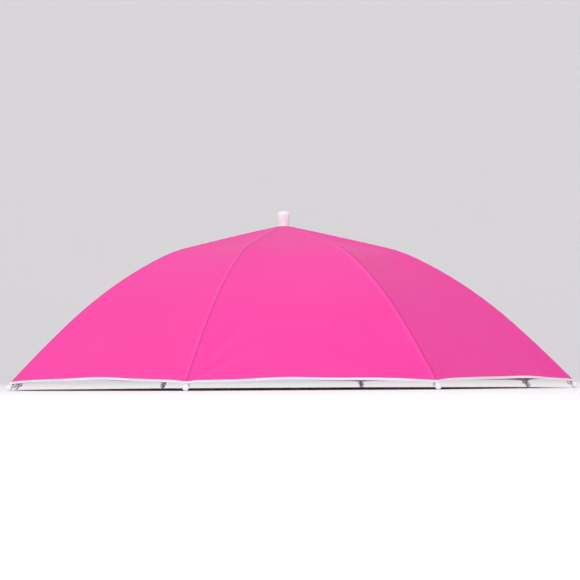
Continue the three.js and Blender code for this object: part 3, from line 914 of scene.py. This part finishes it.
class HAT_OT_stage(HatOperator, bpy.types.Operator):
    """Set up the pale floor, the soft lamps and the camera"""

    bl_idname = "hat.stage"
    bl_label = "Set the Stage"

    def execute(self, context):
        studio = context.scene.hat_studio
        self.floor()
        self.softbox("key_softbox", place=(-0.95, -2.65, 1.4), size=1.7, power=studio.key)
        self.softbox("top_softbox", place=(-0.2, 0.9, 2.4), size=1, power=studio.top)
        world = bpy.data.worlds.new("room_light")
        world.use_nodes = True
        back = world.node_tree.nodes["Background"]
        back.inputs["Color"].default_value = (*studio.sky_tint, 1)
        back.inputs["Strength"].default_value = studio.sky
        context.scene.world = world
        self.camera(context, studio)
        context.scene.view_settings.view_transform = "Standard"
        return {"FINISHED"}

    def floor(self):
        """A round floor that curves up into a wall all round."""
        flat, bend, wall = 4.6, 2.2, 0.6
        rise = np.linspace(0, math.pi / 2, 24)
        profile = [(r, 0) for r in (0, 1, 2.5)]
        profile += [(flat + bend * math.sin(a), bend * (1 - math.cos(a))) for a in rise]
        profile.append((flat + bend, bend + wall))
        points, faces = turned(profile, 96)
        made = mesh_object("studio_floor", points, faces[:-1])
        made.data.flip_normals()
        made.data.materials.append(material("matt_studio_paint", studio_paint))
        made.data.polygons.foreach_set("use_smooth", [True] * len(made.data.polygons))

    def softbox(self, name, place, size, power):
        """A square lamp that faces the middle of the hat and isn't seen itself."""
        lamp = bpy.data.lights.new(name, "AREA")
        lamp.size = size
        lamp.energy = power
        made = bpy.data.objects.new(name, lamp)
        made.location = place
        aim = Vector((0, 0, 90 * MM)) - made.location
        made.rotation_euler = aim.to_track_quat("-Z", "Y").to_euler()
        made.visible_camera = False
        bpy.context.scene.collection.objects.link(made)

    def camera(self, context, studio):
        """A camera just above the floor that shows the middle of the rim where the picture has it."""
        lens = bpy.data.cameras.new("camera")
        lens.lens = studio.focal / studio.picture * lens.sensor_width
        made = bpy.data.objects.new("camera", lens)
        rim = context.scene.hat_frame.ball_radius
        centre = studio.picture / 2
        pitch = math.atan((studio.rim_y - centre) / studio.focal)
        pitch += math.atan((rim - studio.eye_height) / studio.distance)
        yaw = studio.azimuth + math.atan((studio.rim_x - centre) / studio.focal)
        place = Vector((math.sin(studio.azimuth), -math.cos(studio.azimuth), 0)) * studio.distance
        place.z = studio.eye_height
        made.matrix_world = (
            Matrix.Translation(place)
            @ Matrix.Rotation(yaw, 4, "Z")
            @ Matrix.Rotation(math.pi / 2 + pitch, 4, "X")
            @ Matrix.Rotation(studio.roll, 4, "Z")
        )
        context.scene.collection.objects.link(made)
        context.scene.camera = made


class HAT_OT_canopy(HatOperator, bpy.types.Operator):
    """Sew the eight gores to one canopy and lay it over the ribs"""

    bl_idname = "hat.canopy"
    bl_label = "Sew the Canopy"

    def execute(self, context):
        cloth = hat_cloth()
        sheet, uv, looks = canopy_sheet(cloth)
        finish = [
            material("dyed_polyester", dyed_polyester),
            material("silver_coated_polyester", silver_coated_polyester),
        ]
        nodes = [f"canopy_panel_{i + 1}" for i in range(PANELS)]
        more = {"uv": uv, "looks": looks, "weld": 0}
        made = piece("canopy", sheet, finish, "canopy_cloth", nodes, crease=70, **more)
        sewn = [*self.hem(cloth), self.seam_stitches(cloth)]
        width = 2 * cloth.line.at(cloth.corner, cloth.settings.lift)[0] * math.sin(HALF_PANEL)
        cloth.flat_area()
        return {"FINISHED"}

    def hem(self, cloth):
        """White tape folded over the hem, and the stitches through it."""
        s = cloth.settings
        edge, inward, outward = hem_ring(cloth, 5 * s.columns)  # fine enough for the stitches
        run = np.append(0, np.cumsum(np.linalg.norm(np.diff(edge, axis=0), axis=1)))
        half = s.wall / 2 + 0.04 * MM
        skin = half + s.tape_wall
        width = s.tape_width
        # The tape's section, as pairs of inward and outward, from its raw edge round the fold and back
        # along the cloth.
        outer = [
            (width, 0.5 * (half + skin)),
            (width - 0.2 * MM, skin),
            (0.25 * MM, skin),
            (-0.15 * MM, 0.7 * skin),
        ]
        inner = [(width, -half), (0.05 * MM, -half), (-0.05 * MM, 0), (0.05 * MM, half)]
        under = [(a, -b) for a, b in reversed(outer)]
        section = [(width, half), *outer, (-0.3 * MM, 0), *under, *inner]
        puff = 1 + 0.16 * np.sin(run * 2 * math.pi / s.stitch_pitch)  # proud between the stitches
        rings = []
        for a, b in section:
            rise = b * puff if abs(b) > half else np.full(len(edge), b)
            rings.append(edge + inward * a + outward * rise[:, None])
        solid = loft(np.stack(rings, axis=1), closed=True)
        around = np.repeat(run, len(section))
        wide = np.tile([a + b for a, b in section], len(edge))
        uv = {"cloth": np.stack([around, wide], axis=1)[np.array(solid[1]).ravel()]}
        white = material("polyester_bias_tape", bias_tape)
        tape = piece("hem_tape", solid, white, "binding_tape", ["edge_binding"], 70, uv=uv)
        path = edge + inward * 0.62 * width + outward * skin
        thread = material("hem_thread", spun_thread("thread"))
        rows = stitches(path, outward, s.stitch_pitch, s.thread)
        return [tape, piece("hem_stitches", rows, thread, "binding_tape")]

    def seam_stitches(self, cloth):
        """Rows of stitches that hold the seam allowances down on the underside."""
        s = cloth.settings
        share = np.linspace(cloth.crown + 0.08, cloth.corner - 0.03, 240)
        half = cloth.line.at(share, s.lift - s.wall)[0] * math.sin(HALF_PANEL)
        row, nearer = (1 - part * s.allowance / half for part in (0.7, 0.6))
        rows = []
        for panel in range(PANELS):
            path = cloth.surface(panel, share, row, s.wall)
            beside = cloth.surface(panel, share, nearer, s.wall)
            down = np.cross(np.gradient(path, axis=0), beside - path)
            down *= -np.sign(down[:, 2:])
            rows.append(stitches(path, down, s.stitch_pitch, s.thread))
        thread = material("seam_thread", spun_thread("thread"))
        return piece("seam_stitches", joined(*rows), thread, "canopy_cloth")


class HAT_OT_ribs(HatOperator, bpy.types.Operator):
    """Draw the ribs and fit their ball tips, sewn to the corners of the cloth"""

    bl_idname = "hat.ribs"
    bl_label = "Fit Ribs and Tips"

    def execute(self, context):
        s = context.scene.hat_frame
        line = RibLine(s)
        steel = material("lacquered_steel", lacquered_steel)
        plastic = material("moulded_polypropylene", moulded_polypropylene)
        knot = material("corner_thread", spun_thread("knot"))
        wire, tip, thread = self.rib(s, line), self.tip(s), self.corner_thread(s)
        lean = Matrix.Rotation(line.slope[-1] - math.pi / 2, 4, "Y")
        seat = Matrix.Translation((line.reach, 0, s.ball_radius)) @ lean
        for i in range(PANELS):
            turn, number = spoke(i), i + 1
            place = turn @ seat
            piece(f"rib_wire_{number}", moved(wire, turn), steel, "frame_steel", [f"rib_{number}"])
            tips = [f"rib_tip_{number}"]
            piece(f"ball_tip_{number}", moved(tip, place), plastic, "tip_plastic", tips)
            piece(f"corner_thread_{number}", moved(thread, place), knot, "binding_tape")
        return {"FINISHED"}

    def rib(self, s, line):
        """One rib's wire in the plane of +X, with a softened inner end."""
        end = 1 - s.rib_stop * math.cos(line.slope[-1]) / line.reach
        share = np.linspace(s.rib_start / line.reach, end, 72)
        radius, height = line.at(share)
        path = np.stack([radius, 0 * radius, height], axis=1)
        ends = np.array([path[0] + (path[1] - path[0]) * t for t in (0, 0.04, 0.1)])
        path = np.concatenate([ends, path[1:]])
        radii = np.concatenate([[0.55, 0.85, 1], np.ones(len(share) - 1)]) * s.rib_radius
        return tube(path, radii)

    def tip(self, s):
        """A moulded tip about Z: ball, stem with its thread hole, and a sleeve with a bore."""
        neck = math.acos(s.stem_radius / s.ball_radius)
        angles = np.linspace(-math.pi / 2, neck, 16)
        ball = [(s.ball_radius * math.cos(a), s.ball_radius * math.sin(a)) for a in angles]
        end = s.stem_length + s.sleeve_length
        stem = rounded(
            [
                ball[-1],
                (s.stem_radius, 0.55 * s.stem_length),
                (s.stem_radius, s.stem_length),
                (s.sleeve_radius, s.stem_length + s.stem_radius - s.sleeve_radius),
                (s.sleeve_radius, end),
                (s.bore_radius, end),
                (s.bore_radius, s.rib_stop - s.fit),
                (0, s.rib_stop - s.fit),
            ],
            0.15 * MM,
            2,
        )
        body = turned(ball + stem[1:], 32)
        hole = turned([(s.hole_radius, z * s.stem_radius) for z in (-2, 2)], 12)
        across = Matrix.Translation((0, 0, s.hole_height)) @ Matrix.Rotation(math.pi / 2, 4, "X")
        return cut(body, moved(hole, across))

    def corner_thread(self, s):
        """Loops of thread from the hole in the stem over the corner of the cloth, in the tip's frame,
        whose Z runs up the rib and whose X points away from the cloth."""
        inward, side, up = columns(CORNER_LOOP, "inward", "side", "up")
        side *= s.stem_radius + s.knot_radius
        over = np.stack([-inward * MM, side, s.hole_height + up * MM], axis=1)
        ring = [*over, *(over[-2::-1] * (1, -1, 1))]
        path = np.array(rounded(ring, 0.9 * MM, 4, closed=True))
        apart = 0.25 * MM * np.array((0, 2, 1))
        return joined(*(self.loop(path + k * apart, s.knot_radius) for k in (-1, 1)))

    def loop(self, path, radius):
        """A thread that closes on itself, in a plane that leans with the cloth."""
        along = np.roll(path, -1, axis=0) - np.roll(path, 1, axis=0)
        along /= np.linalg.norm(along, axis=1)[:, None]
        square = (0.83, 0, 0.56)  # to the plane that the thread lies in
        side = np.cross(along, square)
        side /= np.linalg.norm(side, axis=1)[:, None]
        rise = np.cross(side, along)
        turn = np.linspace(0, 2 * math.pi, 6, endpoint=False)
        rings = [path + radius * (math.cos(a) * side + math.sin(a) * rise) for a in turn]
        return loft(np.stack(rings, axis=1), closed=True)


class HAT_OT_stretchers(HatOperator, bpy.types.Operator):
    """Rivet the stretchers to their ribs"""

    bl_idname = "hat.stretchers"
    bl_label = "Rivet the Stretchers"

    def execute(self, context):
        s = context.scene.hat_frame
        steel = material("lacquered_steel", lacquered_steel)
        rod = self.stretcher(s, RibLine(s))
        for i in range(PANELS):
            nodes = [f"stretcher_{i + 1}"]
            piece(f"stretcher_rod_{i + 1}", moved(rod, spoke(i)), steel, "frame_steel", nodes)
        return {"FINISHED"}

    def stretcher(self, s, line):
        """A wire in the plane of +X, with a fork that holds the rib by a rivet."""
        start, end, rib = stretcher_line(s, line)
        way = (end - start).normalized()
        path = [start + way * t for t in (0, 0.4 * MM, 1 * MM)]
        path += [start.lerp(end, t) for t in (0.3, 0.6, 0.9)]
        path += [end - way * t for t in (1 * MM, 0.3 * MM, 0)]
        softened = [0.6, 0.9]
        radii = np.array([*softened, *[1] * 5, *reversed(softened)]) * s.stretcher_radius
        solids = [tube([tuple(p) for p in path], radii)]
        inside = s.rib_radius + s.fit / 2
        outside = inside + s.fork_wall
        fork_start = end - way * 8 * MM
        for side in (-1, 1):
            solids.append(self.plate(fork_start, rib, side * inside, side * outside))
        dome, head, shank = 0.5 * MM, 1 * MM, 0.5 * MM
        button = [(0, outside + dome), (0.8 * head, outside + 0.7 * dome), (head, outside)]
        button.append((shank, outside))
        pin = [*((r, -z) for r, z in button), *reversed(button)]
        rivet = Matrix.Translation(rib) @ Matrix.Rotation(math.pi / 2, 4, "X")
        solids.append(moved(turned(pin, 16), rivet))
        return joined(*solids)

    def plate(self, low, high, near, far):
        """A steel plate that hugs the stretcher's end and the rivet, between two distances across."""
        shape = bmesh.new()
        narrow, wide = 1.1 * MM, 1.7 * MM
        for centre, radius in ((low, narrow), (high, wide)):
            for a in np.linspace(0, 2 * math.pi, 20, endpoint=False):
                for y in (near, far):
                    place = (centre.x + radius * math.cos(a), y, centre.z + radius * math.sin(a))
                    shape.verts.new(place)
        hull = bmesh.ops.convex_hull(shape, input=shape.verts)
        loose = [e for e in hull["geom_interior"] if isinstance(e, bmesh.types.BMVert)]
        bmesh.ops.delete(shape, geom=loose, context="VERTS")
        shape.verts.index_update()
        points = np.array([v.co for v in shape.verts])
        faces = [tuple(v.index for v in f.verts) for f in shape.faces]
        shape.free()
        return points, faces


def stretcher_line(s, line):
    """Both ends of a stretcher's axis in the plane of +X, and the rib's axis over its outer end."""
    low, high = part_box("runner")
    start = Vector((s.rib_start, 0, (low.z + high.z) / 2))
    share = s.stretcher_reach / line.reach
    rib = Vector((s.stretcher_reach, 0, float(line.at(share)[1])))
    slope = np.interp(share, line.share, line.slope)
    drop = (s.rib_radius + s.stretcher_room + s.stretcher_radius) / math.cos(slope)
    return start, rib - UP * drop, rib


class HAT_OT_hub(HatOperator, bpy.types.Operator):
    """Mould the hub, the runner, the shaft and the fluted ferrule"""

    bl_idname = "hat.hub"
    bl_label = "Mould Hub and Ferrule"

    def execute(self, context):
        s = context.scene.hat_frame
        nylon = material("moulded_nylon", moulded_nylon)
        for name, stands_for in (("hub_disc", "top_hub"), ("runner_disc", "runner")):
            piece(name, self.disc(s, stands_for), nylon, "frame_plastic", [stands_for], crease=30)
        piece("shaft_rod", self.shaft(s), nylon, "frame_plastic", ["shaft"], crease=30)
        plastic = material("moulded_polypropylene", moulded_polypropylene)
        piece("fluted_ferrule", self.ferrule(s), plastic, "tip_plastic", ["crown_ferrule"], crease=50)
        return {"FINISHED"}

    def disc(self, s, name):
        """A disc with a bore for the shaft and a slot for each wire."""
        low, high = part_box(name)
        outside = node_radius(name)
        bore = node_radius("shaft") + s.fit
        corners = [(bore, low.z), (outside, low.z), (outside, high.z), (bore, high.z)]
        body = turned(rounded(corners, 0.6 * MM, 3, closed=True), 64, closed=True)
        root, far, half = s.slot_root, 2 * outside, s.slot_half
        outline = [(root, -half), (far, -half), (far, half), (root, half)]
        slot = loft([[(x, y, z) for x, y in outline] for z in (low.z - 1 * MM, high.z + 1 * MM)])
        return cut(body, joined(*(moved(slot, spoke(i)) for i in range(PANELS))))

    def shaft(self, s):
        """The shaft and the thinner spigot on top of it."""
        low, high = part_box("shaft")
        thick = node_radius("shaft")
        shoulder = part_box("top_hub")[1].z
        profile = [
            (0, low.z),
            (thick, low.z),
            (thick, shoulder),
            (s.spigot_radius, shoulder),
            (s.spigot_radius, high.z),
            (0, high.z),
        ]
        return turned(rounded(profile, 0.5 * MM), 40)

    def ferrule(self, s):
        """A fluted cap, narrow at the cloth, with a bore for the spigot and a dimple on top."""
        low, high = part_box("crown_ferrule")
        tall = high.z - low.z
        top = node_radius("crown_ferrule")
        flare, height = columns(FERRULE_FLARE, "flare", "height")
        heights = np.linspace(0, height[-1], 18)
        radii = s.ferrule_base + (top - s.ferrule_base) * np.interp(heights, height, flare)
        rim = low.z - s.ferrule_seat
        wall = [(s.ferrule_base, rim), *zip(radii, low.z + heights * tall)]
        shoulder = wall[-1][1]
        lip = 2 * s.dimple_radius
        bow, drop = top - lip, high.z - shoulder
        quarter = np.linspace(0, math.pi / 2, 12)[1:]
        dome = [(lip + bow * math.cos(a), shoulder + drop * math.sin(a)) for a in quarter]
        dish = [
            (s.dimple_radius * math.cos(a), high.z - s.dimple_depth * math.sin(a))
            for a in np.linspace(0, math.pi / 2, 6)
        ]
        bore = s.spigot_radius + s.fit
        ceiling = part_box("shaft")[1].z + s.fit
        inside = [(0, ceiling), (bore, ceiling), (bore, rim)]
        profile = inside + wall + dome + dish
        points, faces = turned(profile, 12 * s.flutes)
        grid = points.reshape(len(profile), -1, 3)
        turn = np.linspace(0, 2 * math.pi, grid.shape[1], endpoint=False)
        groove = s.flute_depth * np.maximum(0, np.cos(turn * s.flutes)) ** 1.5
        for row, (radius, _) in enumerate(profile):
            if row < len(inside) or radius < s.ferrule_base * 0.75:
                continue  # the bore and the middle of the top are plain
            fade = 1 if row < len(inside + wall) else (radius / top) ** 3
            grid[row, :, :2] *= (1 - groove * fade / radius)[:, None]
        return grid.reshape(-1, 3), faces


class HAT_OT_headband(HatOperator, bpy.types.Operator):
    """Sew the elastic headband and hang it on its tapes"""

    bl_idname = "hat.headband"
    bl_label = "Hang the Headband"

    def execute(self, context):
        s, f = context.scene.hat_band, context.scene.hat_frame
        elastic = material("woven_elastic", woven_elastic)
        solid, uv = self.band(s)
        piece("elastic_band", solid, elastic, "band_elastic", ["headband"], crease=80, uv=uv)
        webbing = material("polyester_webbing", polyester_webbing)
        nickel = material("nickel_plate", nickel_plate)
        thread = material("band_thread", spun_thread("band_thread"))
        tape, eye, sewing = self.tape(s, f)
        uv = flat_uv(*tape, (0, 1, 0), (0, 0, 1))
        sewn = []
        for i in range(PANELS):
            turn, nodes = spoke(i), [f"hang_strap_{i + 1}"]
            piece(f"hanging_tape_{i + 1}", moved(tape, turn), webbing, "strap_webbing", nodes, uv=uv)
            piece(f"eyelet_{i + 1}", moved(eye, turn), nickel, "frame_steel")
            sewn.append(moved(sewing, turn))
        piece("tape_stitches", joined(*sewn), thread, "strap_webbing")
        return {"FINISHED"}

    def band(self, s):
        """A ring of corded elastic, lapped at the back."""
        low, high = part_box("headband")
        outside = high.x
        inside = outside - s.wall
        steps_round = 288
        turn = np.linspace(0, 2 * math.pi, steps_round, endpoint=False)
        back = np.abs((turn - math.pi / 2 + math.pi) % (2 * math.pi) - math.pi) * outside
        lap = s.joint_rise * (1 - ease(back, s.joint / 2 - 0.4 * MM, s.joint / 2 + 0.4 * MM))
        tall = high.z - low.z
        steps = 4 * s.cords
        cord = np.abs(np.sin(np.linspace(0, s.cords * math.pi, steps + 1)))
        edge = np.minimum(1, 4 * np.sin(np.linspace(0, math.pi, steps + 1)))  # thin at both edges
        heights = np.linspace(low.z, high.z, steps + 1)
        section = [(1, z, c, e) for z, c, e in zip(heights, cord, edge)]
        section += [(-1, z, c, e) for z, c, e in zip(heights[::-1], cord[::-1], edge[::-1])]
        wander = s.gather * np.sin(turn * s.gathers)
        rings = []
        for face, z, c, e in section:
            radius = inside + 0.5 * s.wall + face * (0.5 * s.wall * e - s.cord_height * (1 - c))
            radius = radius + (lap if face > 0 else 0)
            pull = wander * (2 * (z - low.z) / tall - 1)  # opposite ways at the two edges
            height = np.clip(z + pull, low.z, high.z)
            rings.append(np.stack([radius * np.cos(turn), radius * np.sin(turn), height], axis=1))
        solid = loft(np.stack(rings, axis=1), closed=True)
        around = np.repeat(turn * outside, len(section))
        up = np.tile([z for _, z, _, _ in section], steps_round)
        return solid, {"cloth": np.stack([around, up], axis=1)[np.array(solid[1]).ravel()]}

    def tape(self, s, f):
        """One hanging tape in the plane of +X, its metal eyelet and the stitches that sew it on."""
        low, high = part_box("hang_strap_1")
        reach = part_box("headband")[1].x + f.fit
        start, end, _ = stretcher_line(f, RibLine(f))
        eye = start.lerp(end, (reach - start.x) / (end.x - start.x)).z
        half, wall = s.tape_width / 2, s.tape_wall
        rows = list(np.linspace(low.z, eye, 24))
        rows += [eye + half * math.sin(a) for a in np.linspace(0, math.pi / 2, 12)[1:-1]]
        rows.append(high.z)
        rings = []
        for z in rows:
            wide = half if z <= eye else max(0.2 * MM, math.sqrt(max(0, half**2 - (z - eye) ** 2)))
            outline = [(0, -wide), (wall, -wide), (wall, wide), (0, wide)]
            outline = rounded(outline, min(0.3 * MM, wide / 2), 2, closed=True)
            rings.append([(reach + x, y, z) for x, y in outline])
        across = Matrix.Translation((reach + wall / 2, 0, eye)) @ Matrix.Rotation(math.pi / 2, 4, "Y")
        hole = moved(turned([(s.eye_radius, -3 * wall), (s.eye_radius, 3 * wall)], 24), across)
        tape = cut(loft(rings), hole)
        rim, out = s.eye_rim, s.eye_radius - 0.05 * MM
        proud = wall / 2 + 0.35 * MM
        ring_line = [(out, -proud), (out + rim, -wall / 2), (out + rim, wall / 2), (out, proud)]
        eyelet = turned(rounded(ring_line, 0.3 * MM, 3, closed=True), 32, closed=True)
        inset = 1.5 * MM
        left, right = inset - half, half - inset
        bottom, top = low.z + inset, low.z + s.lap - inset
        lines = [
            [(left, bottom), (right, bottom), (right, top), (left, top), (left, bottom)],
            [(left, bottom), (right, top)],
            [(left, top), (right, bottom)],
        ]
        sewing = []
        for corners in lines:
            for a, b in zip(corners, corners[1:]):
                path = [(reach + wall, *a), (reach + wall, *b)]
                sewing.append(stitches(path, [(1, 0, 0)] * 2, s.stitch_pitch, s.thread))
        return tape, moved(eyelet, across), joined(*sewing)


class HAT_PT_panel(bpy.types.Panel):
    """The steps of the hat and what each is made to"""

    bl_label = "Umbrella Hat"
    bl_idname = "HAT_PT_panel"
    bl_space_type = "VIEW_3D"
    bl_region_type = "UI"
    bl_category = "Hat"

    def draw(self, context):
        for operator in OPERATORS:
            self.layout.operator(operator.bl_idname)
        for name, group in SETTINGS.items():
            box = self.layout.box()
            box.label(text=group.__doc__)
            for prop in group.__annotations__:
                box.prop(getattr(context.scene, name), prop)


OPERATORS = (
    HAT_OT_stage,
    HAT_OT_canopy,
    HAT_OT_ribs,
    HAT_OT_stretchers,
    HAT_OT_hub,
    HAT_OT_headband,
)
CLASSES = (*SETTINGS.values(), *OPERATORS, HAT_PT_panel)


def register():
    for cls in CLASSES:
        bpy.utils.register_class(cls)
    for name, group in SETTINGS.items():
        setattr(bpy.types.Scene, name, PointerProperty(type=group))


def unregister():
    for name in SETTINGS:
        delattr(bpy.types.Scene, name)
    for cls in reversed(CLASSES):
        bpy.utils.unregister_class(cls)


def main():
    """Make the whole hat, step by step."""
    register()
    bpy.ops.hat.stage()
    bpy.ops.hat.canopy()
    bpy.ops.hat.ribs()
    bpy.ops.hat.stretchers()
    bpy.ops.hat.hub()
    bpy.ops.hat.headband()


if __name__ == "__main__":
    main()
